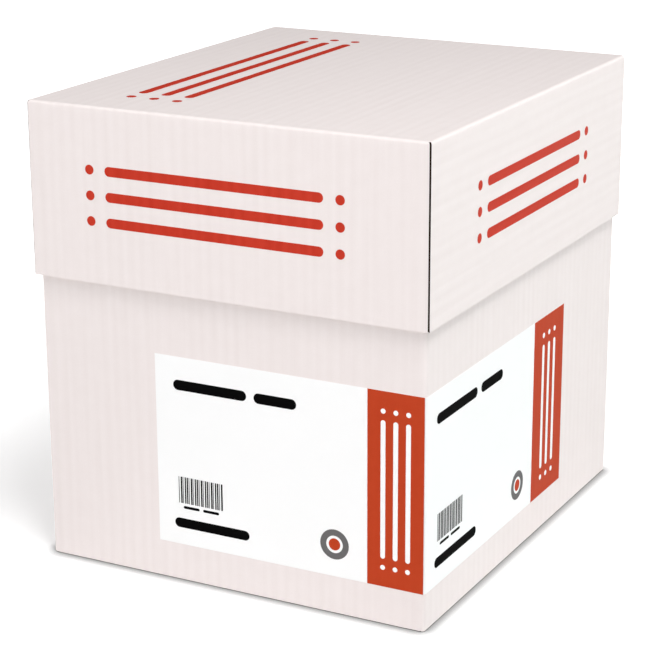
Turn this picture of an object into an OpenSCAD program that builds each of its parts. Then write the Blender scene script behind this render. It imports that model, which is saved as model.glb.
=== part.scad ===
// Corrugated carton of fan-folded green bar computer paper, with a lift-off lid.
// Millimetres. X runs left to right, the front faces -Y, and Z = 0 is the surface
// that the carton stands on. The origin is under the middle of the carton.

/* [Paper] */
// Width of a form with both sprocket margins on
sheet_w = 241.3; // [230:0.1:250]
// Length of a form from fold to fold, front to back
sheet_d = 279.4; // [270:0.1:290]
// Height of the folded stack
stack_h = 270; // [256:1:290]
// Width of each tear-off sprocket margin
margin_w = 12.7; // [11:0.1:15]
// Sprocket hole diameter
sprocket_d = 4; // [3:0.1:5]
// Distance between sprocket holes along a margin
sprocket_pitch = 12.7; // [10:0.1:16]
// Thickness of one loose leaf on top of the stack
leaf_t = 0.3; // [0.2:0.05:0.5]
// Air between the loose leaves
leaf_gap = 0.4; // [0.2:0.05:0.8]
// Number of loose leaves on top of the stack
leaf_count = 5; // [2:1:8]
// Width of each tear-off perforation line
perforation_w = 0.4; // [0.2:0.05:0.6]
// Depth of each tear-off perforation line
perforation_depth = 0.12; // [0.05:0.01:0.15]
// Height of a green bar along the form
bar_pitch = 12.7; // [10:0.1:15]

/* [Board] */
// Thickness of the corrugated board
board_t = 2.4; // [2:0.1:3]
// Outer radius of the base's upright folds
upright_fold_r = 2.6; // [2:0.1:4]
// Outer radius of the base's bottom folds
bottom_fold_r = 1.2; // [1:0.1:3]
// Outer radius of the folds round the lid's top
lid_fold_r = 1.9; // [1:0.1:3]

/* [Base] */
// Room between the stack and each side wall
room_x = 6.35; // [3:0.05:12]
// Room between the stack and the front or back wall
room_y = 4.9; // [3:0.1:12]
// Room between the stack and the lid
head_room = 13.1; // [8:0.1:25]
// Distance that the outer bottom flaps stand back from the front and back
flap_inset = 9; // [7:0.1:14]
// Flat that each bottom fold stands on, up to the groove behind it
fold_flat = 2.2; // [0.8:0.1:3]
// Open seam between the two outer bottom flaps
flap_seam = 1.2; // [0.6:0.1:3]
// Width of the glued joint strip inside the back wall
joint_strip_w = 35; // [25:1:45]
// Thickness of the crushed joint strip
joint_strip_t = 1.2; // [0.8:0.1:2]
// Open seam at the glued joint
joint_seam = 1; // [0.5:0.1:2]

/* [Lid] */
// Outer height of the lid
lid_h = 107.3; // [85:0.1:120]
// Running gap between the lid and the base
lid_gap = 0.2; // [0.15:0.05:0.6]
// Width of the slit at each corner of the lid
corner_slit = 1.12; // [0.6:0.01:2]
// Thickness of the crushed fold behind each slit, where a tab turns the corner
tab_fold_t = 0.9; // [0.6:0.1:1.2]
// Length of each glued corner tab
tab_len = 46; // [30:1:70]
// Distance that a crushed corner tab stands in from its skirt
tab_t = 0.5; // [0.3:0.1:1]
// Distance from the lid's lower edge to a corner tab
tab_rise = 5; // [3:0.5:12]
// Taper of a corner tab's upper and lower edges over its length
tab_taper = 7; // [3:0.5:15]

/* [Label] */
// Label height
label_h = 120; // [95:1:132]
// Distance from the lid's lower edge to the label
label_drop = 39.1; // [15:0.1:50]
// Length of the label on the front
label_front = 178.8; // [160:0.1:220]
// Length of the label on the side
label_side = 206.5; // [180:0.1:240]
// Thickness of the label paper
label_t = 0.14; // [0.1:0.01:0.2]
// Thickness of printed ink
ink_t = 0.06; // [0.04:0.01:0.1]
// Width of the red band on the front
front_band_w = 36; // [28:0.1:40]
// Distance from the front band to the upright fold
front_band_gap = 0.8; // [0.2:0.1:3]
// Width of the red band on the side
side_band_w = 48.5; // [36:0.1:50]

/* [Label print] */
// Distance from the label's left end to the heading bars
heading_x = 12.5; // [6:0.1:20]
// Length of the heading, made of two bars
heading_len = 83.4; // [60:0.1:90]
// Height of a heading bar
heading_h = 6.4; // [4:0.1:8]
// Distance from the label's top edge to the middle of the heading
heading_drop = 17.6; // [10:0.1:25]
// Distance from the label's left end to the striped code
stripes_x = 14.5; // [8:0.1:25]
// Length of the striped code
stripes_len = 31; // [24:0.1:40]
// Height of the striped code
stripes_h = 17; // [12:0.1:22]
// Distance from the label's bottom edge to the striped code
stripes_rise = 27; // [24:0.1:36]
// Number of stripes in the code
stripe_count = 22; // [12:1:26]
// Length of the bar under the striped code
code_len = 52; // [36:0.1:60]
// Distance from the label's left end to the bar under the code
code_x = 11.3; // [6:0.1:20]
// Height of the bar under the code
code_h = 6.2; // [4:0.1:8]
// Distance from the label's bottom edge to the middle of that bar
code_rise = 14; // [8:0.1:16]
// Distance between the round seal and the red band
seal_gap = 12; // [6:0.1:20]
// Distance from the label's bottom edge to the middle of the seal
seal_rise = 20.2; // [14:0.1:30]
// Outer diameter of the seal
seal_d = 18.8; // [12:0.1:22]
// Stretch of the side's print along the label
side_stretch = 1.13; // [1:0.01:1.2]

/* [Marks] */
// Length of the mark on the lid's front and right side
lid_mark_len = 172; // [130:1:190]
// Height of the mark on the lid's front and right side
lid_mark_h = 37; // [24:0.5:44]
// Distance of the front mark's middle from the lid's middle
lid_mark_x = -6; // [-14:0.5:10]
// Length of the mark on the lid's top
top_mark_len = 236; // [180:1:250]
// Height of the mark on the lid's top
top_mark_h = 38; // [26:0.5:46]
// Distance of the top mark's middle from the lid's middle
top_mark_x = -65; // [-80:0.5:-40]
// Distance from a red band's ends to its white mark
band_mark_margin = 10.5; // [6:0.5:25]
// Height of the white mark on the front band
band_mark_h = 19; // [12:0.5:22]
// Number of printed lines in a mark
mark_lines = 3; // [2:1:4]
// Thickness of a printed line, as a share of the mark's height
line_share = 0.16; // [0.1:0.01:0.2]

/* [Hidden] */
$fn = 48;
cut = 1;
base_inner_w = sheet_w + 2 * room_x;
base_inner_d = sheet_d + 2 * room_y;
base_w = base_inner_w + 2 * board_t;
base_d = base_inner_d + 2 * board_t;
floor_z = 2 * board_t;
stack_top = floor_z + stack_h;
base_h = stack_top + head_room;
lid_inner_w = base_w + 2 * lid_gap;
lid_inner_d = base_d + 2 * (lid_gap + tab_t);
lid_w = lid_inner_w + 2 * board_t;
lid_d = lid_inner_d + 2 * board_t;
carton_h = base_h + board_t;
lid_low = carton_h - lid_h;
label_top = lid_low - label_drop;
label_low = label_top - label_h;
minor_flap = base_w / 2;
outer_flap_d = base_d - 2 * flap_inset;
leaf_pitch = leaf_t + leaf_gap;
pressed_h = stack_h - leaf_count * leaf_pitch;
hole_count = floor((sheet_d - sprocket_d) / sprocket_pitch);
bar_count = floor((sheet_d / bar_pitch + 1) / 2);

// A mark's feed holes stand this far from its lines, in line thicknesses
feed_gap_share = 1.3;
// The heading's long bar and the gap after it, as shares of its length
heading_long_share = 0.6;
heading_gap_share = 0.06;
// A stripe's least width and the step between widths, as shares of the pitch
stripe_least_share = 0.35;
stripe_step_share = 0.1;
// The two small bars under the stripes: where they start, their length and height
foot_start_shares = [0.1, 0.54];
foot_len_share = 0.36;
foot_h_share = 0.1;
// The seal's hole and dot, as shares of its diameter, and its middle from the
// label's left end
seal_hole_share = 0.58;
seal_dot_share = 0.4;
front_seal_x = label_front - front_band_gap - front_band_w - seal_gap - seal_d / 2;
side_seal_x = label_side - side_band_w - seal_gap * side_stretch - seal_d / 2;

board_colour = [0.93, 0.90, 0.885];
paper_colour = [0.97, 0.97, 0.95];
label_colour = [0.99, 0.99, 0.99];
red_ink = [0.75, 0.28, 0.19];
black_ink = [0.09, 0.09, 0.09];
grey_ink = [0.42, 0.41, 0.41];
green_ink = [0.72, 0.87, 0.74];

// Flat shapes

// Rectangle with its four corners rounded
module rounded_plan(w, d, r) {
    square([w - 2 * r, d], center = true);
    square([w, d - 2 * r], center = true);
    for (sx = [-1, 1], sy = [-1, 1])
        translate([sx * (w / 2 - r), sy * (d / 2 - r)]) circle(r);
}

// Upright section with its two lower corners rounded, standing on y = low
module round_bottom(w, low, top, r) {
    translate([-w / 2, low + r]) square([w, top - low - r]);
    translate([-w / 2 + r, low]) square([w - 2 * r, top - low]);
    for (side = [-1, 1])
        translate([side * (w / 2 - r), low + r]) circle(r);
}

// Upright section with its two upper corners rounded
module round_top(w, low, top, r) {
    translate([-w / 2, low]) square([w, top - low - r]);
    translate([-w / 2 + r, low]) square([w - 2 * r, top - low]);
    for (side = [-1, 1])
        translate([side * (w / 2 - r), top - r]) circle(r);
}

// Length rounded to 0.04 mm, so that shapes laid end to end meet exactly
function neat(x) = round(x * 25) / 25;

// Bar with round ends, its lower left corner at the origin
module soft_bar(len, h) {
    high = neat(h);
    straight = neat(len - h);
    translate([high / 2, 0]) square([straight, high]);
    for (x = [0, straight])
        translate([high / 2 + x, high / 2]) circle(d = high);
}

// Generic mark: printed lines between two columns of feed holes, like one form of
// the paper inside. Its middle is at the origin.
module form_mark(len, h) {
    line = neat(h * line_share);
    step = neat((h - line) / (mark_lines - 1));
    hole_gap = neat(feed_gap_share * line);
    bar_len = neat(len - 2 * (line + hole_gap));
    for (row = [0:mark_lines - 1])
        translate([0, row * step - neat(h) / 2]) {
            translate([-bar_len / 2, 0]) soft_bar(bar_len, line);
            for (side = [-1, 1])
                translate([side * (bar_len + line + 2 * hole_gap) / 2, line / 2])
                    circle(d = line);
        }
}

// Half ring, open towards -x, where a leaf turns back on the next
module fold_bend(r, thick) {
    intersection() {
        difference() {
            circle(r + thick / 2);
            circle(r - thick / 2);
        }
        translate([0, -r - thick]) square([r + thick, 2 * (r + thick)]);
    }
}

// Places

// Sheet of thickness t on the front of a piece, with x along X and y up
module on_front(face_y, t) {
    translate([0, -face_y, 0]) rotate([90, 0, 0]) linear_extrude(t) children();
}

// Sheet of thickness t on the right side, with x along Y and y up
module on_right(face_x, t) {
    translate([face_x, 0, 0]) rotate([90, 0, 90]) linear_extrude(t) children();
}

// The label's print on the front or the side, with x from the label's left end
// and y from its bottom edge
module on_label_front() {
    on_front(base_d / 2 + label_t, ink_t)
        translate([base_w / 2 - label_front, label_low]) children();
}

module on_label_side() {
    on_right(base_w / 2 + label_t, ink_t)
        translate([-base_d / 2, label_low]) children();
}

// Carton base: front, right, back and left walls from one blank. The front and
// back flaps fold in first, and the side flaps close under them. The load presses
// all four folds down to the same level.
module carton_base() {
    color(board_colour)
    difference() {
        intersection() {
            linear_extrude(base_h) rounded_plan(base_w, base_d, upright_fold_r);
            side_folds();
            end_folds();
        }
        translate([0, 0, floor_z])
            linear_extrude(base_h) square([base_inner_w, base_inner_d], center = true);
        minor_flap_gap();
        flap_grooves();
        translate([-flap_seam / 2, -outer_flap_d / 2, -cut])
            cube([flap_seam, outer_flap_d, board_t + cut]);
        translate([-base_w / 2 + upright_fold_r + board_t, base_d / 2 - board_t, floor_z])
            cube([joint_seam, board_t + cut, base_h]);
    }
    color(board_colour)
    translate([-base_inner_w / 2, base_inner_d / 2 - joint_strip_t, floor_z])
        cube([joint_strip_w, joint_strip_t, base_h - floor_z]);
}

// Side walls turning under into the outer flaps
module side_folds() {
    translate([0, base_d, 0]) rotate([90, 0, 0])
        linear_extrude(2 * base_d) round_bottom(base_w, 0, base_h + cut, bottom_fold_r);
}

// Front and back walls turning under into the inner flaps
module end_folds() {
    translate([-base_w, 0, 0]) rotate([90, 0, 90])
        linear_extrude(2 * base_w) round_bottom(base_d, 0, base_h + cut, bottom_fold_r);
}

// Each inner flap rises from its fold onto the outer flaps. That leaves a groove
// along the edges of the outer flaps, which stand back from the front and back.
module flap_grooves() {
    groove_len = base_w - 2 * (bottom_fold_r + fold_flat);
    low = base_d / 2 - bottom_fold_r - fold_flat;
    high = outer_flap_d / 2;
    for (side = [0, 1])
        mirror([0, side, 0]) translate([-groove_len / 2, 0, 0]) rotate([90, 0, 90])
            linear_extrude(groove_len)
                polygon([[low, -cut], [low, 0], [high, board_t], [high, -cut]]);
}

// The inner flaps don't meet: each is as long as the outer ones
module minor_flap_gap() {
    gap = base_d - 2 * minor_flap;
    translate([-base_inner_w / 2, -gap / 2, board_t])
        cube([base_inner_w, gap, board_t + cut]);
}

// Lid: a die-cut tray whose skirts fold down from the top panel. Each side skirt
// ends in tabs that turn the corner and are glued inside the front and back skirts.
module lid() {
    color(board_colour) {
        difference() {
            intersection() {
                translate([0, lid_d, 0]) rotate([90, 0, 0])
                    linear_extrude(2 * lid_d) round_top(lid_w, lid_low, carton_h, lid_fold_r);
                translate([-lid_w, 0, 0]) rotate([90, 0, 90])
                    linear_extrude(2 * lid_w) round_top(lid_d, lid_low, carton_h, lid_fold_r);
            }
            translate([-lid_inner_w / 2, -lid_inner_d / 2, lid_low - cut])
                cube([lid_inner_w, lid_inner_d, lid_h - board_t + cut]);
            for (sx = [-1, 1], sy = [-1, 1])
                translate([sx * lid_w / 2, sy * lid_d / 2, lid_low - cut])
                    rotate([0, 0, sx * sy * 45])
                        corner_cut();
        }
        for (sx = [0, 1], sy = [0, 1])
            mirror([sx, 0, 0]) mirror([0, sy, 0]) corner_tab();
    }
}

// Slit between two skirts, down to the tab's fold and up into the top fold
module corner_cut() {
    reach = (board_t - tab_fold_t) * sqrt(2);
    translate([-reach, -corner_slit / 2, 0])
        cube([2 * reach, corner_slit, lid_h - board_t / 2 + cut]);
}

// Tab glued inside the front skirt, with its hinge at the right side skirt
module corner_tab() {
    low = lid_low + tab_rise;
    high = carton_h - board_t;
    right = lid_inner_w / 2;
    translate([0, -lid_inner_d / 2 + tab_t, 0]) rotate([90, 0, 0])
        linear_extrude(tab_t)
            polygon([
                [right, low], [right, high],
                [right - tab_len, high - tab_taper], [right - tab_len, low + tab_taper]
            ]);
}

// Fan-folded paper: one endless web pressed solid, with its top leaves loose. The
// folds lie at the front and back, and the sprocket holes run down both sides.
module paper_stack() {
    color(paper_colour)
    difference() {
        translate([-sheet_w / 2, 0, floor_z]) rotate([90, 0, 90])
            linear_extrude(sheet_w) web_section();
        for (side = [-1, 1], row = [0:hole_count - 1])
            translate([
                side * (sheet_w - margin_w) / 2,
                (row - (hole_count - 1) / 2) * sprocket_pitch,
                floor_z - cut
            ])
                cylinder(d = sprocket_d, h = stack_h + 2 * cut);
        for (side = [-1, 1])
            translate([
                side * (sheet_w / 2 - margin_w) - perforation_w / 2,
                -sheet_d,
                stack_top - perforation_depth
            ])
                cube([perforation_w, 2 * sheet_d, perforation_depth + cut]);
    }
}

// Section of the web, front to back: pressed leaves below, and above them leaves
// that turn back on themselves at each fold
module web_section() {
    fold_r = leaf_pitch / 2;
    translate([-sheet_d / 2, 0]) square([sheet_d, pressed_h]);
    for (leaf = [0:leaf_count - 1])
        translate([0, pressed_h + leaf * leaf_pitch]) {
            turn = leaf % 2 == 0 ? 1 : -1;
            last = leaf == leaf_count - 1 ? 0 : fold_r + leaf_t / 2;
            start = leaf == 0 ? 0 : fold_r + leaf_t / 2;
            leaf_run(turn, start, last, leaf_gap);
            leaf_turn(turn, fold_r);
        }
}

// One leaf, from its lower fold to its upper one
module leaf_run(turn, start, last, rise) {
    low = turn > 0 ? start : last;
    high = turn > 0 ? last : start;
    translate([-sheet_d / 2 + low, rise]) square([sheet_d - low - high, leaf_t]);
}

// The fold that carries a leaf on the one below it
module leaf_turn(turn, fold_r) {
    translate([-turn * (sheet_d / 2 - fold_r - leaf_t / 2), fold_r - leaf_t / 2])
        scale([-turn, 1]) fold_bend(fold_r, leaf_t);
}

// Pale green bars across the top form, between its sprocket margins
module green_bars() {
    bar_len = sheet_w - 2 * margin_w - 2 * perforation_w;
    first = -(bar_count - 0.5) * bar_pitch;
    color(green_ink)
    for (i = [0:bar_count - 1])
        translate([-bar_len / 2, first + 2 * i * bar_pitch, stack_top])
            cube([bar_len, bar_pitch, ink_t]);
}

// One white label, folded round the right-hand front corner of the base
module label_wrap() {
    color(label_colour)
    translate([0, 0, label_low])
        linear_extrude(label_h)
            intersection() {
                difference() {
                    rounded_plan(
                        base_w + 2 * label_t, base_d + 2 * label_t, upright_fold_r + label_t
                    );
                    rounded_plan(base_w, base_d, upright_fold_r);
                }
                translate([base_w / 2 - label_front, -base_d / 2 - cut])
                    square([label_front + cut, label_side + cut]);
            }
}

// Red band at the corner end of the label's front
module front_red_band() {
    color(red_ink)
    on_label_front()
        translate([label_front - front_band_gap - front_band_w, 0])
            square([front_band_w, label_h]);
}

// Red band at the far end of the label's side
module side_red_band() {
    color(red_ink)
    on_label_side()
        translate([label_side - side_band_w, 0]) square([side_band_w, label_h]);
}

// White marks on the red bands, turned to read downwards
module band_mark(h) {
    translate([0, label_h / 2]) rotate(-90) form_mark(label_h - 2 * band_mark_margin, h);
}

module front_band_mark() {
    color(label_colour)
    translate([0, -ink_t, 0])
        on_label_front()
            translate([label_front - front_band_gap - front_band_w / 2, 0])
                band_mark(band_mark_h);
}

module side_band_mark() {
    color(label_colour)
    translate([ink_t, 0, 0])
        on_label_side()
            translate([label_side - side_band_w / 2, 0])
                band_mark(band_mark_h * side_stretch);
}

// Two bars in the place of a heading
module heading(stretch) {
    gap = heading_gap_share * heading_len;
    long_bar = heading_long_share * heading_len;
    short_bar = heading_len - long_bar - gap;
    translate([heading_x * stretch, label_h - heading_drop - heading_h / 2]) {
        soft_bar(long_bar * stretch, heading_h);
        translate([(long_bar + gap) * stretch, 0])
            soft_bar(short_bar * stretch, heading_h);
    }
}

module front_heading() {
    color(black_ink) on_label_front() heading(1);
}

module side_heading() {
    color(black_ink) on_label_side() heading(side_stretch);
}

// Upright stripes whose widths vary by a simple rule, over a row of small bars
module stripes(stretch) {
    pitch = stripes_len / stripe_count;
    foot_h = foot_h_share * stripes_h;
    foot_len = foot_len_share * stripes_len;
    translate([stripes_x * stretch, stripes_rise]) {
        for (i = [0:stripe_count - 1]) {
            share = stripe_least_share + stripe_step_share * ((i * i + 3 * i) % 5);
            translate([i * pitch * stretch, 0])
                square([share * pitch * stretch, stripes_h]);
        }
        for (start = foot_start_shares)
            translate([start * stripes_len * stretch, -2 * foot_h])
                soft_bar(foot_len * stretch, foot_h);
    }
}

module front_stripes() {
    color(black_ink) on_label_front() stripes(1);
}

module side_stripes() {
    color(black_ink) on_label_side() stripes(side_stretch);
}

// One bar in the place of an order code
module code_bar(stretch) {
    translate([code_x * stretch, code_rise - code_h / 2])
        soft_bar(code_len * stretch, code_h);
}

module front_code_bar() {
    color(black_ink) on_label_front() code_bar(1);
}

module side_code_bar() {
    color(black_ink) on_label_side() code_bar(side_stretch);
}

// Plain round seal: a grey ring with a red dot, placed from the red band
module seal_ring(x) {
    translate([x, seal_rise])
        difference() {
            circle(d = seal_d);
            circle(d = seal_hole_share * seal_d);
        }
}

module seal_dot(x) {
    translate([x, seal_rise]) circle(d = seal_dot_share * seal_d);
}

module front_seal_ring() {
    color(grey_ink) on_label_front() seal_ring(front_seal_x);
}

module side_seal_ring() {
    color(grey_ink) on_label_side() seal_ring(side_seal_x);
}

module front_seal_dot() {
    color(red_ink) on_label_front() seal_dot(front_seal_x);
}

module side_seal_dot() {
    color(red_ink) on_label_side() seal_dot(side_seal_x);
}

// Red marks printed on the lid's front, right side and top
module lid_front_mark() {
    color(red_ink)
    on_front(lid_d / 2, ink_t)
        translate([lid_mark_x, carton_h - lid_h / 2]) form_mark(lid_mark_len, lid_mark_h);
}

module lid_side_mark() {
    color(red_ink)
    on_right(lid_w / 2, ink_t)
        translate([0, carton_h - lid_h / 2]) form_mark(lid_mark_len, lid_mark_h);
}

module lid_top_mark() {
    color(red_ink)
    translate([top_mark_x, 0, carton_h]) rotate([0, 0, 90])
        linear_extrude(ink_t) form_mark(top_mark_len, top_mark_h);
}

carton_base();
lid();
paper_stack();
green_bars();
label_wrap();
front_red_band();
side_red_band();
front_band_mark();
side_band_mark();
front_heading();
side_heading();
front_stripes();
side_stripes();
front_code_bar();
side_code_bar();
front_seal_ring();
side_seal_ring();
front_seal_dot();
side_seal_dot();
lid_front_mark();
lid_side_mark();
lid_top_mark();
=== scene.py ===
import math
import random

import bmesh
import bpy
from mathutils import Matrix, Vector


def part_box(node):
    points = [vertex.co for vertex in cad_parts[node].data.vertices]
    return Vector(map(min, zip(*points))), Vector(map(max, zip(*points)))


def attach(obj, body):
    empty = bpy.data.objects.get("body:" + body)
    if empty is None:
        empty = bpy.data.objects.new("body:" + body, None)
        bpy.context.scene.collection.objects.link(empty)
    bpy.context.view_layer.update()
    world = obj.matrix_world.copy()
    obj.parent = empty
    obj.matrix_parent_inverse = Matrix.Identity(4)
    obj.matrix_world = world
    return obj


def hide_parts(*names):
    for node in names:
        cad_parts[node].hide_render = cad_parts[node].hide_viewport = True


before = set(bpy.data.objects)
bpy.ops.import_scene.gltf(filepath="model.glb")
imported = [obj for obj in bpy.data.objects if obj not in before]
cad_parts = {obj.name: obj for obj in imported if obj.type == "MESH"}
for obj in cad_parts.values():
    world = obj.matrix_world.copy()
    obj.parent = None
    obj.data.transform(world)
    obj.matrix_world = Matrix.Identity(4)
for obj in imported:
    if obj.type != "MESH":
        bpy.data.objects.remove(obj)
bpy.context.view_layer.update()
mm = 0.001
scene = bpy.context.scene
scene.view_settings.view_transform = "Standard"

# Camera. It stands where the photographer's did: to the right of the front, a little above
# the lid, and close enough that the upright edges lean together downwards.
photo_px = 660
focal_px = 2092.5
azimuth = math.radians(27.794)
elevation = math.radians(17.427)
roll = math.radians(-0.241)
camera_place = (0.59597, -1.14722, 0.52997)
camera_data = bpy.data.cameras.new("camera")
camera_data.lens = camera_data.sensor_width * focal_px / photo_px
camera = bpy.data.objects.new("camera", camera_data)
scene.collection.objects.link(camera)
camera_back = Vector((
    math.sin(azimuth) * math.cos(elevation),
    -math.cos(azimuth) * math.cos(elevation),
    math.sin(elevation),
))
level_right = Vector((math.cos(azimuth), math.sin(azimuth), 0))
level_up = camera_back.cross(level_right)
camera_right = level_right * math.cos(roll) + level_up * math.sin(roll)
camera_up = camera_back.cross(camera_right)
camera_axes = Matrix((camera_right, camera_up, camera_back)).transposed()
camera.matrix_world = Matrix.Translation(camera_place) @ camera_axes.to_4x4()
scene.camera = camera

# World. A white studio all round: even light on the carton, and plain white behind it.
sky_strength = 0.1
world = bpy.data.worlds.new("studio")
world.use_nodes = True
scene.world = world
sky = world.node_tree
sky.nodes["Background"].inputs["Color"].default_value = (1, 1, 1, 1)
sky.nodes["Background"].inputs["Strength"].default_value = sky_strength
backdrop = sky.nodes.new("ShaderNodeBackground")
backdrop.inputs["Color"].default_value = (1, 1, 1, 1)
sky_ray = sky.nodes.new("ShaderNodeLightPath")
sky_mix = sky.nodes.new("ShaderNodeMixShader")
sky.links.new(sky_ray.outputs["Is Camera Ray"], sky_mix.inputs["Fac"])
sky.links.new(sky.nodes["Background"].outputs[0], sky_mix.inputs[1])
sky.links.new(backdrop.outputs[0], sky_mix.inputs[2])
sky.links.new(sky_mix.outputs[0], sky.nodes["World Output"].inputs["Surface"])

# Lamps. Six soft boxes. Four stand low round the carton, and the right one is a little cooler.
# One hangs high over its front right corner, lights the top, and shades the base under the
# lid's edge. A weak one below that draws the shade's dark line.
lamp_aim = Vector((0, 0, 0.14))
for lamp_name, lamp_place, lamp_size, lamp_watts, lamp_colour in (
    ("overhead", (0.65, -0.55, 1.92), 0.6, 25.2, (1, 1, 1)),
    ("high", (0.91, -1.16, 1.77), 0.4, 4.8, (1, 1, 1)),
    ("front", (-0.7, -3.2, 0.35), 1.2, 57, (1, 1, 1)),
    ("right", (3.3, 0.8, 0.35), 1.2, 53, (0.93, 1, 0.99)),
    ("left", (-3.2, 0.4, 0.4), 1.2, 56, (1, 1, 1)),
    ("back", (0.8, 3.2, 0.4), 1.2, 48, (1, 1, 1)),
):
    lamp_data = bpy.data.lights.new(lamp_name, "AREA")
    lamp_data.shape = "SQUARE"
    lamp_data.size = lamp_size
    lamp_data.energy = lamp_watts
    lamp_data.color = lamp_colour
    lamp = bpy.data.objects.new(lamp_name, lamp_data)
    scene.collection.objects.link(lamp)
    lamp.location = lamp_place
    lamp.rotation_euler = (lamp_aim - lamp.location).to_track_quat("-Z", "Y").to_euler()

# Floor. Plain white board, which the camera sees as white paper. It keeps the carton's
# shadow, and for camera rays a painted shade darkens a narrow line along the foot.
floor_size = 8
floor_grey = 0.75
floor_white_near = 0.45
floor_white_far = 1
floor_white_reach = (0.25, 0.8)
foot_shade_reach = 0.0095
foot_shade_power = 1.7
foot_shade_samples = 16


def add_node(tree, kind, **settings):
    node = tree.nodes.new(kind)
    for name, value in settings.items():
        setattr(node, name, value)
    return node


def calculate(tree, operation, first, second=0):
    node = add_node(tree, "ShaderNodeMath", operation=operation)
    for socket, value in zip(node.inputs, (first, second)):
        if isinstance(value, (int, float)):
            socket.default_value = value
        else:
            tree.links.new(value, socket)
    return node.outputs[0]


def plain_material(name, colour, roughness, specular):
    material = bpy.data.materials.new(name)
    material.use_nodes = True
    tree = material.node_tree
    shader = tree.nodes["Principled BSDF"]
    shader.inputs["Base Color"].default_value = colour
    shader.inputs["Roughness"].default_value = roughness
    shader.inputs["Specular IOR Level"].default_value = specular
    return material, tree, shader


floor_mesh = bmesh.new()
bmesh.ops.create_grid(floor_mesh, x_segments=1, y_segments=1, size=floor_size / 2)
floor_data = bpy.data.meshes.new("floor")
floor_mesh.to_mesh(floor_data)
floor_mesh.free()
floor = bpy.data.objects.new("floor", floor_data)
scene.collection.objects.link(floor)
floor_white, floor_tree, floor_shader = plain_material(
    "floor_white", (floor_grey, floor_grey, floor_grey, 1), roughness=0.9, specular=0.1
)
seen = add_node(floor_tree, "ShaderNodeLightPath").outputs["Is Camera Ray"]
# Painted shade: an ambient occlusion node darkens the floor's colour, for camera rays only, in a
# narrow line along the carton's foot.
foot_shade = add_node(
    floor_tree, "ShaderNodeAmbientOcclusion", samples=foot_shade_samples
)
foot_shade.inputs["Distance"].default_value = foot_shade_reach
shade = calculate(
    floor_tree, "SUBTRACT", 1,
    calculate(floor_tree, "POWER", foot_shade.outputs["AO"], foot_shade_power),
)
open_share = calculate(floor_tree, "SUBTRACT", 1, calculate(floor_tree, "MULTIPLY", shade, seen))
floor_value = calculate(floor_tree, "MULTIPLY", open_share, floor_grey)
floor_tree.links.new(floor_value, floor_shader.inputs["Base Color"])
from_middle = add_node(floor_tree, "ShaderNodeVectorMath", operation="LENGTH")
floor_tree.links.new(
    add_node(floor_tree, "ShaderNodeTexCoord").outputs["Object"], from_middle.inputs[0]
)
whiteness = add_node(floor_tree, "ShaderNodeMapRange", interpolation_type="SMOOTHSTEP")
floor_tree.links.new(from_middle.outputs["Value"], whiteness.inputs["Value"])
for socket, value in zip(
    whiteness.inputs[1:5], (*floor_white_reach, floor_white_near, floor_white_far)
):
    socket.default_value = value
white_seen = calculate(
    floor_tree, "MULTIPLY", calculate(floor_tree, "MULTIPLY", seen, open_share),
    whiteness.outputs[0],
)
glow = add_node(floor_tree, "ShaderNodeEmission")
floor_sum = add_node(floor_tree, "ShaderNodeAddShader")
floor_tree.links.new(white_seen, glow.inputs["Strength"])
floor_tree.links.new(floor_shader.outputs[0], floor_sum.inputs[0])
floor_tree.links.new(glow.outputs[0], floor_sum.inputs[1])
floor_tree.links.new(floor_sum.outputs[0], floor_tree.nodes["Material Output"].inputs["Surface"])
floor_data.materials.append(floor_white)

# Carton base. One blank of corrugated board: a white outer liner over a brown wave and liner.
# Its walls fold at the upright corners, and its ends meet in a glued joint at the back. The
# front and back flaps fold under first, and rise from their folds onto the two side flaps.
base_low, base_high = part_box("carton_base")
base_w = base_high.x - base_low.x
base_d = base_high.y - base_low.y
board_t = 2.4 * mm
liner_t = 0.35 * mm
flute_pitch = 7.7 * mm
washboard = 0.04 * mm
columns_per_flute = 6
flute_count = 40
weakest_flute = 0.4
upright_fold_r = 2.6 * mm
bottom_fold_r = 1.2 * mm
fold_flat = 3.4 * mm
fold_steps = 6
fold_margin = 4 * mm
outer_flap_half = base_d / 2 - 9 * mm
outer_flap_seam = 1.2 * mm
inner_flap_len = base_w / 2
joint_seam_low = base_low.x + upright_fold_r + board_t
joint_seam_w = 1 * mm
joint_seam_x = (joint_seam_low, joint_seam_low + joint_seam_w)
joint_strip_w = 35 * mm
joint_strip_t = 1.2 * mm
open_edge_depth = 5 * mm
open_edge_zone = 1 * mm
touch = 1e-5
cut_snap = 1e-6
crease = math.radians(32)
OUTSIDE, INSIDE, EDGE, SLIT = range(4)
chance = random.Random(7)


def weighted(tree, start, *parts):
    """start plus each socket times its weight."""
    total = start
    for socket, weight in parts:
        total = calculate(tree, "ADD", calculate(tree, "MULTIPLY", socket, weight), total)
    return total


def noise(tree, place, size, stretch=(1, 1, 1), detail=2, roughness=0.5):
    """Noise from about -0.5 to 0.5, with lumps of that size, drawn out along each axis."""
    mapping = add_node(tree, "ShaderNodeMapping")
    mapping.inputs["Scale"].default_value = [1 / (size * share) for share in stretch]
    tree.links.new(place, mapping.inputs["Vector"])
    texture = add_node(tree, "ShaderNodeTexNoise")
    texture.inputs["Scale"].default_value = 1
    texture.inputs["Detail"].default_value = detail
    texture.inputs["Roughness"].default_value = roughness
    tree.links.new(mapping.outputs[0], texture.inputs["Vector"])
    return calculate(tree, "SUBTRACT", texture.outputs["Fac"], 0.5)


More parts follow.
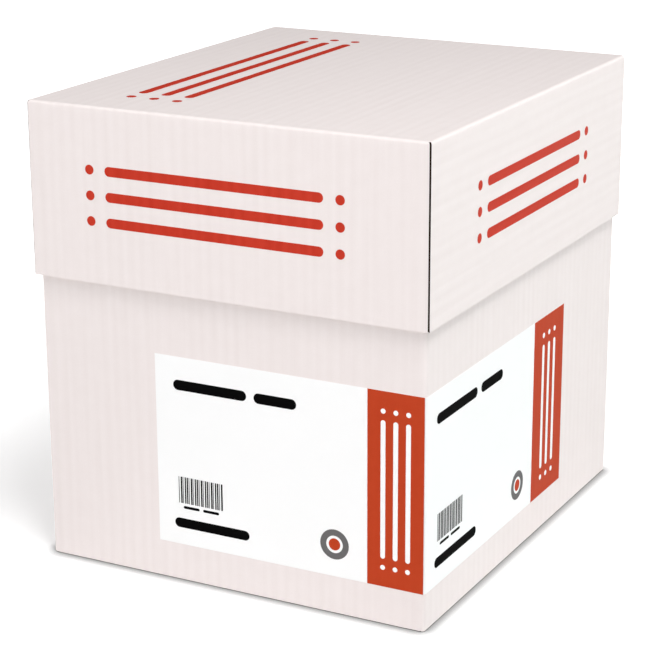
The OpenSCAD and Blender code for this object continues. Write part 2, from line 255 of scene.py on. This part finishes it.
def flute_lines(tree, place):
    """Soft lines along the flutes, strong in one place and faint in the next."""
    axes = add_node(tree, "ShaderNodeSeparateXYZ")
    tree.links.new(place, axes.inputs[0])
    turns = calculate(tree, "MULTIPLY", axes.outputs["X"], 2 * math.pi / flute_pitch)
    strength = calculate(
        tree, "ADD", noise(tree, place, 24 * mm, stretch=(1, 5, 1), detail=1), 0.6
    )
    return calculate(tree, "MULTIPLY", calculate(tree, "COSINE", turns), strength)


def colour_between(tree, shader, share, light, dark):
    mix = add_node(tree, "ShaderNodeMix", data_type="RGBA")
    mix.inputs[6].default_value = light
    mix.inputs[7].default_value = dark
    tree.links.new(share, mix.inputs[0])
    tree.links.new(mix.outputs[2], shader.inputs["Base Color"])


def relief(tree, shader, height, depth):
    bump = add_node(tree, "ShaderNodeBump")
    bump.inputs["Distance"].default_value = depth
    tree.links.new(height, bump.inputs["Height"])
    tree.links.new(bump.outputs[0], shader.inputs["Normal"])


def board_material(name, light, dark, fibre, fleck, specular=0.25):
    material, tree, shader = plain_material(name, light, roughness=0.82, specular=specular)
    place = add_node(tree, "ShaderNodeUVMap", uv_map="blank").outputs[0]
    streaks = noise(tree, place, 3.4 * mm, stretch=(1, 30, 1))
    clouds = noise(tree, place, 10 * mm, detail=3, roughness=0.6)
    fibres = noise(tree, place, fibre, detail=4, roughness=0.65)
    share = weighted(
        tree, 0.42,
        (flute_lines(tree, place), 0.16), (streaks, 0.6), (clouds, 0.5), (fibres, fleck),
    )
    colour_between(tree, shader, share, light, dark)
    relief(tree, shader, weighted(tree, 0, (streaks, 0.6), (fibres, 0.4)), depth=0.03 * mm)
    return material


board_white = board_material(
    "board_white", light=(0.885, 0.815, 0.803, 1), dark=(0.815, 0.738, 0.722, 1),
    fibre=0.9 * mm, fleck=0.5,
)
board_kraft = board_material(
    "board_kraft", light=(0.470, 0.310, 0.180, 1), dark=(0.340, 0.212, 0.112, 1),
    fibre=1.4 * mm, fleck=1.0,
)
board_raw = board_material(
    "board_raw", light=(0.420, 0.285, 0.175, 1), dark=(0.250, 0.160, 0.090, 1),
    fibre=0.7 * mm, fleck=1.2,
)
# The corner slits' cut faces: raw brown board darkened almost to black, painted shade deep in the
# narrow slit.
slit_painted_shade = board_material(
    "slit_painted_shade", light=(0.055, 0.031, 0.017, 1), dark=(0.030, 0.016, 0.008, 1),
    fibre=0.7 * mm, fleck=1.2, specular=0.05,
)
board_materials = (board_white, board_kraft, board_raw, slit_painted_shade)


def verts_of(geometry):
    return [item for item in geometry if isinstance(item, bmesh.types.BMVert)]


def cut(bm, faces, place, normal):
    """Cuts those faces where the plane crosses them."""
    edges = {edge for face in faces for edge in face.edges}
    verts = {vert for face in faces for vert in face.verts}
    geometry = list(faces) + list(edges) + list(verts)
    bmesh.ops.bisect_plane(bm, geom=geometry, dist=cut_snap, plane_co=place, plane_no=normal)


def flute_places(low, high):
    """Places between low and high at which a wall is cut to follow its flutes."""
    step = flute_pitch / columns_per_flute
    return [i * step for i in range(math.ceil(low / step), math.floor(high / step) + 1)]


def sunk(place, strengths):
    """How far the outer liner sinks between two flutes, at a place across them."""
    strength = strengths[math.floor(place / flute_pitch) % len(strengths)]
    return washboard * strength * (0.5 - 0.5 * math.cos(2 * math.pi * place / flute_pitch))


def run_on(bm, edges, *runs):
    """Runs the skin on from those edges in straight steps."""
    for run in runs:
        swept = bmesh.ops.extrude_edge_only(bm, edges=edges)["geom"]
        bmesh.ops.translate(bm, verts=verts_of(swept), vec=run)
        edges = [
            item for item in swept
            if isinstance(item, bmesh.types.BMEdge) and item.is_boundary
        ]


def thicken(skin, thickness):
    """The skin as board of that thickness, which lies inside the skin."""
    data = bpy.data.meshes.new("skin")
    skin.to_mesh(data)
    skin.free()
    for material in board_materials:
        data.materials.append(material)
    shell = bpy.data.objects.new("skin", data)
    scene.collection.objects.link(shell)
    wall = shell.modifiers.new("wall", "SOLIDIFY")
    wall.thickness = thickness
    wall.offset = -1
    wall.use_even_offset = True
    wall.material_offset = INSIDE
    wall.material_offset_rim = EDGE
    evaluated = shell.evaluated_get(bpy.context.evaluated_depsgraph_get())
    board = bmesh.new()
    board.from_mesh(evaluated.to_mesh())
    bpy.data.objects.remove(shell)
    bpy.data.meshes.remove(data)
    return board


def open_edge(bm, faces, depth):
    """Hollows out a raw edge between its two liners, by depth as a vector."""
    bmesh.ops.inset_region(
        bm, faces=faces, thickness=liner_t, use_even_offset=True, use_boundary=True
    )
    sunk_faces = bmesh.ops.extrude_face_region(bm, geom=faces)["geom"]
    bmesh.ops.delete(bm, geom=faces, context="FACES")
    bmesh.ops.translate(bm, verts=verts_of(sunk_faces), vec=depth)


def lay_out(bm, axes_of):
    """Writes each face's place across and along its flutes, in metres, as a UV map."""
    layer = bm.loops.layers.uv.new("blank")
    for face in bm.faces:
        across, along = axes_of(face)
        for loop in face.loops:
            loop[layer].uv = (loop.vert.co[across], loop.vert.co[along])


def add_piece(name, bm, materials, body):
    data = bpy.data.meshes.new(name)
    bm.to_mesh(data)
    bm.free()
    for material in materials:
        data.materials.append(material)
    data.shade_smooth()
    data.set_sharp_from_angle(angle=crease)
    piece = bpy.data.objects.new(name, data)
    scene.collection.objects.link(piece)
    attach(piece, body)
    return piece


skin = bmesh.new()
bmesh.ops.create_grid(skin, x_segments=1, y_segments=1, size=0.5)
bmesh.ops.scale(skin, vec=(base_w, base_d, 1), verts=skin.verts)
bmesh.ops.bevel(
    skin, geom=skin.verts[:], affect="VERTICES", offset=upright_fold_r, segments=fold_steps,
    profile=0.5, material=-1,
)
bmesh.ops.delete(skin, geom=skin.faces[:], context="FACES_ONLY")
run_on(skin, skin.edges[:], (0, 0, base_high.z))


def on_end(item):
    """On the front or back wall's plane."""
    return all(abs(abs(v.co.y) - base_d / 2) < touch for v in item.verts)


def on_side(item):
    """On the left or right wall's plane."""
    return all(abs(abs(v.co.x) - base_w / 2) < touch for v in item.verts)


def faces_out(face):
    """An upright face, turned away from the middle of the base."""
    return face.normal.z > -0.5 and face.normal.xy.dot(face.calc_center_median().xy) > 0


for x in joint_seam_x:
    cut(skin, [f for f in skin.faces if on_end(f) and f.verts[0].co.y > 0], (x, 0, 0), (1, 0, 0))
seam = [
    f for f in skin.faces
    if on_end(f) and f.verts[0].co.y > 0
    and joint_seam_x[0] < f.calc_center_median().x < joint_seam_x[1]
]
bmesh.ops.delete(skin, geom=seam, context="FACES")
for x in flute_places(base_low.x + fold_margin, base_high.x - fold_margin):
    cut(skin, [f for f in skin.faces if on_end(f)], (x, 0, 0), (1, 0, 0))
side_cuts = flute_places(base_low.y + fold_margin, base_high.y - fold_margin)
for y in side_cuts + [-outer_flap_half, outer_flap_half]:
    cut(skin, [f for f in skin.faces if on_side(f)], (0, y, 0), (0, 1, 0))

foot = [e for e in skin.edges if e.is_boundary and all(v.co.z < touch for v in e.verts)]
rise_len = base_d / 2 - fold_flat - outer_flap_half
for sign in (-1, 1):
    run_on(
        skin, [e for e in foot if on_end(e) and e.verts[0].co.y * sign > 0],
        (0, -sign * fold_flat, 0),
        (0, -sign * rise_len, board_t),
        (0, -sign * (inner_flap_len - fold_flat - rise_len), 0),
    )
    run_on(
        skin,
        [
            e for e in foot
            if on_side(e) and e.verts[0].co.x * sign > 0
            and all(abs(v.co.y) < outer_flap_half + touch for v in e.verts)
        ],
        (-sign * (base_w / 2 - outer_flap_seam / 2), 0, 0),
    )
base_strengths = [chance.uniform(weakest_flute, 1) for _ in range(flute_count)]
for vert in skin.verts:
    from_side = base_w / 2 - abs(vert.co.x)
    from_end = base_d / 2 - abs(vert.co.y)
    if abs(from_end) < touch and from_side > upright_fold_r + touch:
        vert.co.y -= math.copysign(sunk(vert.co.x, base_strengths), vert.co.y)
    elif abs(from_side) < touch and from_end > upright_fold_r + touch:
        vert.co.x -= math.copysign(sunk(vert.co.y, base_strengths), vert.co.x)
bmesh.ops.recalc_face_normals(skin, faces=skin.faces)
base_board = thicken(skin, board_t)
outline = [
    e for e in base_board.edges
    if all(v.co.z < touch for v in e.verts)
    and sum(faces_out(f) for f in e.link_faces) == 1
    and all(
        abs(v.co.x) > base_w / 2 - upright_fold_r - touch
        or abs(v.co.y) > base_d / 2 - upright_fold_r - touch
        for v in e.verts
    )
]
rounded = bmesh.ops.bevel(
    base_board, geom=outline, affect="EDGES", offset=bottom_fold_r, offset_type="OFFSET",
    segments=fold_steps, profile=0.5, material=-1,
)["faces"]
for face in rounded:
    face.material_index = OUTSIDE
rim = [
    f for f in base_board.faces
    if f.normal.z > 0.9 and f.calc_center_median().z > base_high.z - open_edge_zone
    and (
        abs(f.calc_center_median().x) < base_w / 2 - fold_margin
        or abs(f.calc_center_median().y) < base_d / 2 - fold_margin
    )
]
open_edge(base_board, rim, (0, 0, -open_edge_depth))
strip = bmesh.ops.create_cube(base_board, size=1)["verts"]
bmesh.ops.scale(
    base_board, verts=strip, vec=(joint_strip_w, joint_strip_t, base_high.z - 2 * board_t)
)
bmesh.ops.translate(
    base_board, verts=strip,
    vec=(
        base_low.x + board_t + joint_strip_w / 2,
        base_high.y - board_t - joint_strip_t / 2,
        (base_high.z + 2 * board_t) / 2,
    ),
)
for face in {f for v in strip for f in v.link_faces}:
    face.material_index = INSIDE


def base_axes(face):
    middle = face.calc_center_median()
    if abs(face.normal.z) > 0.7:
        in_outer_flap = middle.z < board_t + touch and abs(middle.y) < outer_flap_half
        return (1, 0) if in_outer_flap else (0, 1)
    return (0, 2) if abs(face.normal.y) > abs(face.normal.x) else (1, 2)


lay_out(base_board, base_axes)
base_piece = add_piece("base_board", base_board, board_materials[:SLIT], "carton")
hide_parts("carton_base")

# Waves in the base's rim. The board's middle layer is a wave of brown paper, glued between the
# two liners. It shows all round the cut rim, up to the crushed folds.
medium_t = 0.25 * mm
wave_swing = (board_t - 2 * liner_t - medium_t) / 2
wave_steps = 12
wave_drop = 0.3 * mm
wave_end_gap = 10 * mm


def add_waves(bm, centre, turn, length, height, upright):
    """One strip of the waved layer, standing on edge and turned about Z to lie in its wall."""
    across = length if upright else height
    steps = round(across / flute_pitch * wave_steps)
    place = (
        Matrix.Translation(centre) @ Matrix.Rotation(turn, 4, "Z")
        @ Matrix.Rotation(math.pi / 2, 4, "X") @ Matrix.Diagonal((length, height, 1, 1))
    )
    strip = bmesh.ops.create_grid(
        bm, x_segments=steps if upright else 1, y_segments=1 if upright else steps,
        size=0.5, matrix=place,
    )["verts"]
    outwards = Matrix.Rotation(turn, 3, "Z") @ Vector((0, -1, 0))
    for vert in strip:
        if upright:
            position = vert.co.x if abs(outwards.y) > 0.5 else vert.co.y
        else:
            position = vert.co.z
        vert.co += outwards * wave_swing * math.cos(2 * math.pi * position / flute_pitch)


rim_waves = bmesh.new()
for sign in (-1, 1):
    add_waves(
        rim_waves,
        (0, sign * (base_d - board_t) / 2, base_high.z - open_edge_depth / 2 - wave_drop),
        0, base_w - wave_end_gap, open_edge_depth, True,
    )
    add_waves(
        rim_waves,
        (sign * (base_w - board_t) / 2, 0, base_high.z - open_edge_depth / 2 - wave_drop),
        math.pi / 2, base_d - wave_end_gap, open_edge_depth, True,
    )
bmesh.ops.solidify(rim_waves, geom=rim_waves.faces[:], thickness=medium_t)
lay_out(rim_waves, base_axes)
add_piece("base_rim_waves", rim_waves, (board_kraft,), "carton")

# Paper. One fan-folded web of continuous forms, pressed solid, with its top leaves loose. It
# is plain white wood-free paper with punched feed margins and tear-off perforations.
sheet_w = 241.3 * mm
margin_w = 12.7 * mm
perforation_pitch = 1.6 * mm
perforation_w = 0.3 * mm
dash_share = 0.6


def dress(node, material):
    """Gives a CAD node its finish."""
    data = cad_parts[node].data
    data.materials.clear()
    data.materials.append(material)


def object_place(tree, axes="XYZ"):
    """Object coordinates with their axes in that order."""
    split = add_node(tree, "ShaderNodeSeparateXYZ")
    join = add_node(tree, "ShaderNodeCombineXYZ")
    tree.links.new(add_node(tree, "ShaderNodeTexCoord").outputs["Object"], split.inputs[0])
    for socket, axis in zip(join.inputs, axes):
        tree.links.new(split.outputs[axis], socket)
    return join.outputs[0], split.outputs


form_paper, tree, shader = plain_material(
    "form_paper", (0.93, 0.93, 0.9, 1), roughness=0.78, specular=0.25
)
place, axis = object_place(tree)
leaf_edges = noise(tree, place, 0.5 * mm, stretch=(400, 400, 1), detail=3, roughness=0.7)
fibres = noise(tree, place, 0.8 * mm, detail=4, roughness=0.6)
clouds = noise(tree, place, 30 * mm)
from_line = calculate(
    tree, "ABSOLUTE",
    calculate(tree, "SUBTRACT", calculate(tree, "ABSOLUTE", axis["X"]), sheet_w / 2 - margin_w),
)
on_line = calculate(tree, "LESS_THAN", from_line, perforation_w)
dash = calculate(
    tree, "LESS_THAN",
    calculate(tree, "FRACT", calculate(tree, "DIVIDE", axis["Y"], perforation_pitch)),
    dash_share,
)
dashes = calculate(tree, "MULTIPLY", on_line, dash)
share = weighted(tree, 0.3, (leaf_edges, 0.9), (fibres, 0.35), (clouds, 0.3), (dashes, 0.6))
colour_between(tree, shader, share, (0.93, 0.93, 0.9, 1), (0.78, 0.77, 0.72, 1))
relief(tree, shader, weighted(tree, 0, (leaf_edges, 1), (fibres, 0.15)), depth=0.12 * mm)
dress("paper_stack", form_paper)

# Green bars. A pale tint printed across each form in bars three lines of type high, with a
# fine rule at every line.
type_line = 12.7 / 3 * mm
rule_w = 0.1
form_green, tree, shader = plain_material(
    "form_green", (0.5, 0.74, 0.52, 1), roughness=0.75, specular=0.25
)
place, axis = object_place(tree)
fibres = noise(tree, place, 0.8 * mm, detail=4, roughness=0.6)
clouds = noise(tree, place, 18 * mm)
lines_down = calculate(
    tree, "ADD", calculate(tree, "DIVIDE", axis["Y"], type_line), 0.5 + rule_w / 2
)
rules = calculate(tree, "LESS_THAN", calculate(tree, "FRACT", lines_down), rule_w)
share = weighted(tree, 0.35, (fibres, 0.6), (clouds, 0.4), (rules, 0.55))
colour_between(tree, shader, share, (0.53, 0.77, 0.56, 1), (0.36, 0.62, 0.41, 1))
dress("green_bars", form_green)

# Label. One sheet of white satin label paper, folded round the right-hand front corner and
# glued down all over.
label_paper, tree, shader = plain_material(
    "label_paper", (0.95, 0.95, 0.95, 1), roughness=0.5, specular=0.2
)
place, _ = object_place(tree)
fibres = noise(tree, place, 1.1 * mm, detail=3, roughness=0.6)
clouds = noise(tree, place, 26 * mm)
share = weighted(tree, 0.3, (fibres, 0.5), (clouds, 0.7))
colour_between(tree, shader, share, (0.965, 0.965, 0.965, 1), (0.93, 0.93, 0.928, 1))
relief(tree, shader, fibres, depth=0.02 * mm)
dress("label_wrap", label_paper)

# Print. Thin inks on the label and on the board: they take up the paper's grain, and on the
# board they lie unevenly over the flutes.


def ink_material(name, axes, light, dark, roughness, unevenness, specular=0.06):
    material, tree, shader = plain_material(name, light, roughness, specular)
    place, _ = object_place(tree, axes)
    lines = flute_lines(tree, place)
    streaks = noise(tree, place, 3.4 * mm, stretch=(1, 30, 1))
    clouds = noise(tree, place, 7 * mm, detail=3, roughness=0.6)
    grain = noise(tree, place, 0.7 * mm, detail=4, roughness=0.65)
    share = weighted(
        tree, 0.45,
        (lines, 0.25 * unevenness), (streaks, unevenness), (clouds, 0.5), (grain, 0.7),
    )
    colour_between(tree, shader, share, light, dark)
    relief(tree, shader, weighted(tree, 0, (streaks, 0.6), (grain, 0.4)), depth=0.04 * mm)
    return material


label_red = ((0.530, 0.058, 0.017, 1), (0.470, 0.044, 0.010, 1))
label_black = ((0.0028, 0.0026, 0.0026, 1), (0.0012, 0.0012, 0.0012, 1))
label_grey = ((0.160, 0.155, 0.155, 1), (0.125, 0.121, 0.121, 1))
label_white = ((0.965, 0.965, 0.965, 1), (0.93, 0.93, 0.925, 1))
for side, axes in (("front", "XZY"), ("side", "YZX")):
    red = ink_material(f"{side}_band_red", axes, *label_red, roughness=0.48, unevenness=0.3)
    dress(f"{side}_red_band", red)
    white = ink_material(
        f"{side}_mark_white", axes, *label_white, roughness=0.5, unevenness=0.2
    )
    dress(f"{side}_band_mark", white)
    black = ink_material(
        f"{side}_black", axes, *label_black, roughness=0.7, unevenness=0.2, specular=0.02
    )
    for node in ("heading", "stripes", "code_bar"):
        dress(f"{side}_{node}", black)
    grey = ink_material(f"{side}_grey", axes, *label_grey, roughness=0.48, unevenness=0.2)
    dress(f"{side}_seal_ring", grey)
    seal_red = ink_material(f"{side}_seal_red", axes, *label_red, roughness=0.48, unevenness=0.2)
    dress(f"{side}_seal_dot", seal_red)

# Lid. A die-cut tray of the same board, its flutes running front to back. The skirts fold
# down along scores that crush the board, and the knife leaves a narrow slit at each corner.
lid_low, lid_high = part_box("lid")
lid_w = lid_high.x - lid_low.x
lid_d = lid_high.y - lid_low.y
lid_h = lid_high.z - lid_low.z
lid_fold_r = 1.9 * mm
fold_clear = 4 * mm
edge_clear = 0.5 * mm
score_depth = 0.1 * mm
score_places = (3 * mm, 4.2 * mm, 6 * mm)
corner_slit = 1.12 * mm
slit_cover = 0.3 * mm
blade_below = 1 * mm
tab_fold_t = 0.9 * mm
slit_reach = (board_t - tab_fold_t) * math.sqrt(2)


def carve(bm, cutter):
    """Takes the cutter's solids out of the board."""
    shapes = []
    for shape in (bm, cutter):
        data = bpy.data.meshes.new("shape")
        shape.to_mesh(data)
        shape.free()
        for material in board_materials:
            data.materials.append(material)
        shapes.append(bpy.data.objects.new("shape", data))
        scene.collection.objects.link(shapes[-1])
    knife = shapes[0].modifiers.new("knife", "BOOLEAN")
    knife.operation = "DIFFERENCE"
    knife.solver = "EXACT"
    knife.object = shapes[1]
    evaluated = shapes[0].evaluated_get(bpy.context.evaluated_depsgraph_get())
    carved = bmesh.new()
    carved.from_mesh(evaluated.to_mesh())
    for shape in shapes:
        bpy.data.objects.remove(shape)
    return carved


def on_plane(item, axis, place):
    """All of it lies where that axis, either way, is at that place."""
    return all(abs(abs(v.co[axis]) - place) < touch for v in item.verts)


skin = bmesh.new()
bmesh.ops.create_cube(skin, size=1)
bmesh.ops.scale(skin, verts=skin.verts, vec=(lid_w, lid_d, lid_h))
bmesh.ops.translate(skin, verts=skin.verts, vec=(0, 0, (lid_low.z + lid_high.z) / 2))
bmesh.ops.delete(
    skin, geom=[f for f in skin.faces if f.calc_center_median().z < lid_low.z + touch],
    context="FACES_ONLY",
)
for x in flute_places(lid_low.x + 2 * fold_clear, lid_high.x - 2 * fold_clear):
    cut(skin, [f for f in skin.faces if not on_plane(f, 0, lid_w / 2)], (x, 0, 0), (1, 0, 0))
for z in flute_places(lid_low.z + edge_clear, lid_high.z - fold_clear):
    cut(skin, [f for f in skin.faces if on_plane(f, 0, lid_w / 2)], (0, 0, z), (0, 0, 1))
cut(
    skin, [f for f in skin.faces if on_plane(f, 1, lid_d / 2)],
    (0, 0, lid_high.z - fold_clear), (0, 0, 1),
)
for sign in (-1, 1):
    cut(
        skin, [f for f in skin.faces if on_plane(f, 0, lid_w / 2)],
        (0, sign * (lid_d / 2 - fold_clear), 0), (0, 1, 0),
    )
    for inset in score_places:
        top = [f for f in skin.faces if on_plane(f, 2, lid_high.z)]
        cut(skin, top, (sign * (lid_w / 2 - inset), 0, 0), (1, 0, 0))
        top = [f for f in skin.faces if on_plane(f, 2, lid_high.z)]
        cut(skin, top, (0, sign * (lid_d / 2 - inset), 0), (0, 1, 0))
lid_strengths = [chance.uniform(weakest_flute, 1) for _ in range(flute_count)]
for vert in skin.verts:
    from_x = lid_w / 2 - abs(vert.co.x)
    from_y = lid_d / 2 - abs(vert.co.y)
    from_top = lid_high.z - vert.co.z
    if from_top < touch and min(from_x, from_y) > touch:
        scored = any(abs(d - score_places[1]) < touch for d in (from_x, from_y))
        clear = min(from_x, from_y) > score_places[2] - touch
        vert.co.z -= score_depth * scored + clear * sunk(vert.co.x, lid_strengths)
    elif from_y < touch and from_x > touch and from_top > touch:
        vert.co.y -= math.copysign(sunk(vert.co.x, lid_strengths), vert.co.y)
    elif from_x < touch and from_y > touch and from_top > touch:
        vert.co.x -= math.copysign(sunk(vert.co.z, lid_strengths), vert.co.x)
lid_board = thicken(skin, board_t)
bmesh.ops.bevel(
    lid_board,
    geom=[
        e for e in lid_board.edges
        if on_plane(e, 2, lid_high.z) and (on_plane(e, 0, lid_w / 2) or on_plane(e, 1, lid_d / 2))
    ],
    affect="EDGES", offset=lid_fold_r, offset_type="OFFSET", segments=fold_steps, profile=0.5,
    material=-1,
)
slits = bmesh.new()
for x_sign in (-1, 1):
    for y_sign in (-1, 1):
        blade = bmesh.ops.create_cube(slits, size=1)["verts"]
        blade_h = lid_h - slit_cover + blade_below
        bmesh.ops.scale(slits, verts=blade, vec=(2 * slit_reach, corner_slit, blade_h))
        bmesh.ops.rotate(
            slits, verts=blade, matrix=Matrix.Rotation(x_sign * y_sign * math.pi / 4, 3, "Z")
        )
        bmesh.ops.translate(
            slits, verts=blade,
            vec=(
                x_sign * lid_w / 2, y_sign * lid_d / 2, lid_low.z - blade_below + blade_h / 2
            ),
        )
# The blades' faces become the slit walls, and take the near-black board: painted shade in the
# slit.
for face in slits.faces:
    face.material_index = SLIT
lid_board = carve(lid_board, slits)
skirt_edges = [
    f for f in lid_board.faces
    if f.normal.z < -0.9 and f.calc_center_median().z < lid_low.z + open_edge_zone
    and (
        abs(f.calc_center_median().x) < lid_w / 2 - 2 * fold_clear
        or abs(f.calc_center_median().y) < lid_d / 2 - fold_clear
    )
]
open_edge(lid_board, skirt_edges, (0, 0, open_edge_depth))


def lid_axes(face):
    if abs(face.normal.z) > 0.7:
        return 0, 1
    return (0, 2) if abs(face.normal.y) > abs(face.normal.x) else (2, 1)


lay_out(lid_board, lid_axes)
lid_piece = add_piece("lid_board", lid_board, board_materials, "lid")
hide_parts("lid")

# Corner tabs. Each side skirt runs on into tabs, crushed thin, that turn the corner and are
# glued inside the front and back skirts.
tab_len = 46 * mm
tab_t = 0.5 * mm
tab_rise = 5 * mm
tab_taper = 7 * mm
tabs = bmesh.new()
for x_sign in (-1, 1):
    for y_sign in (-1, 1):
        hinge_x = x_sign * (lid_w / 2 - board_t)
        tip_x = hinge_x - x_sign * tab_len
        face_y = y_sign * (lid_d / 2 - board_t - tab_t / 2)
        low_z = lid_low.z + tab_rise
        high_z = lid_high.z - board_t
        outline = [
            tabs.verts.new(corner) for corner in (
                (hinge_x, face_y, low_z), (hinge_x, face_y, high_z),
                (tip_x, face_y, high_z - tab_taper), (tip_x, face_y, low_z + tab_taper),
            )
        ]
        tab = tabs.faces.new(outline)
        swept = bmesh.ops.extrude_face_region(tabs, geom=[tab], use_keep_orig=True)["geom"]
        bmesh.ops.translate(tabs, verts=outline, vec=(0, tab_t / 2, 0))
        bmesh.ops.translate(tabs, verts=verts_of(swept), vec=(0, -tab_t / 2, 0))
bmesh.ops.recalc_face_normals(tabs, faces=tabs.faces)
lay_out(tabs, lid_axes)
add_piece("lid_tabs", tabs, (board_kraft,), "lid")

# Waves in the lid's lower edges. The same brown middle layer, cut across its flutes on the
# front and back skirts, and along them on the sides.
skirt_waves = bmesh.new()
for sign in (-1, 1):
    add_waves(
        skirt_waves,
        (0, sign * (lid_d - board_t) / 2, lid_low.z + open_edge_depth / 2 + wave_drop),
        0, lid_w - 4.5 * fold_clear, open_edge_depth, True,
    )
    add_waves(
        skirt_waves,
        (sign * (lid_w - board_t) / 2, 0, lid_low.z + open_edge_depth / 2 + wave_drop),
        math.pi / 2, lid_d - 2.5 * fold_clear, open_edge_depth, False,
    )
bmesh.ops.solidify(skirt_waves, geom=skirt_waves.faces[:], thickness=medium_t)
lay_out(skirt_waves, lid_axes)
add_piece("lid_edge_waves", skirt_waves, (board_kraft,), "lid")

# Marks on the lid. Bars between rows of dots, printed straight on the board in one red ink,
# which lies unevenly over the flutes.
lid_red = ((0.590, 0.046, 0.024, 1), (0.510, 0.032, 0.014, 1))
for node, axes in (("lid_front_mark", "XZY"), ("lid_side_mark", "ZYX"), ("lid_top_mark", "XYZ")):
    dress(node, ink_material(f"{node}_red", axes, *lid_red, roughness=0.6, unevenness=0.9))
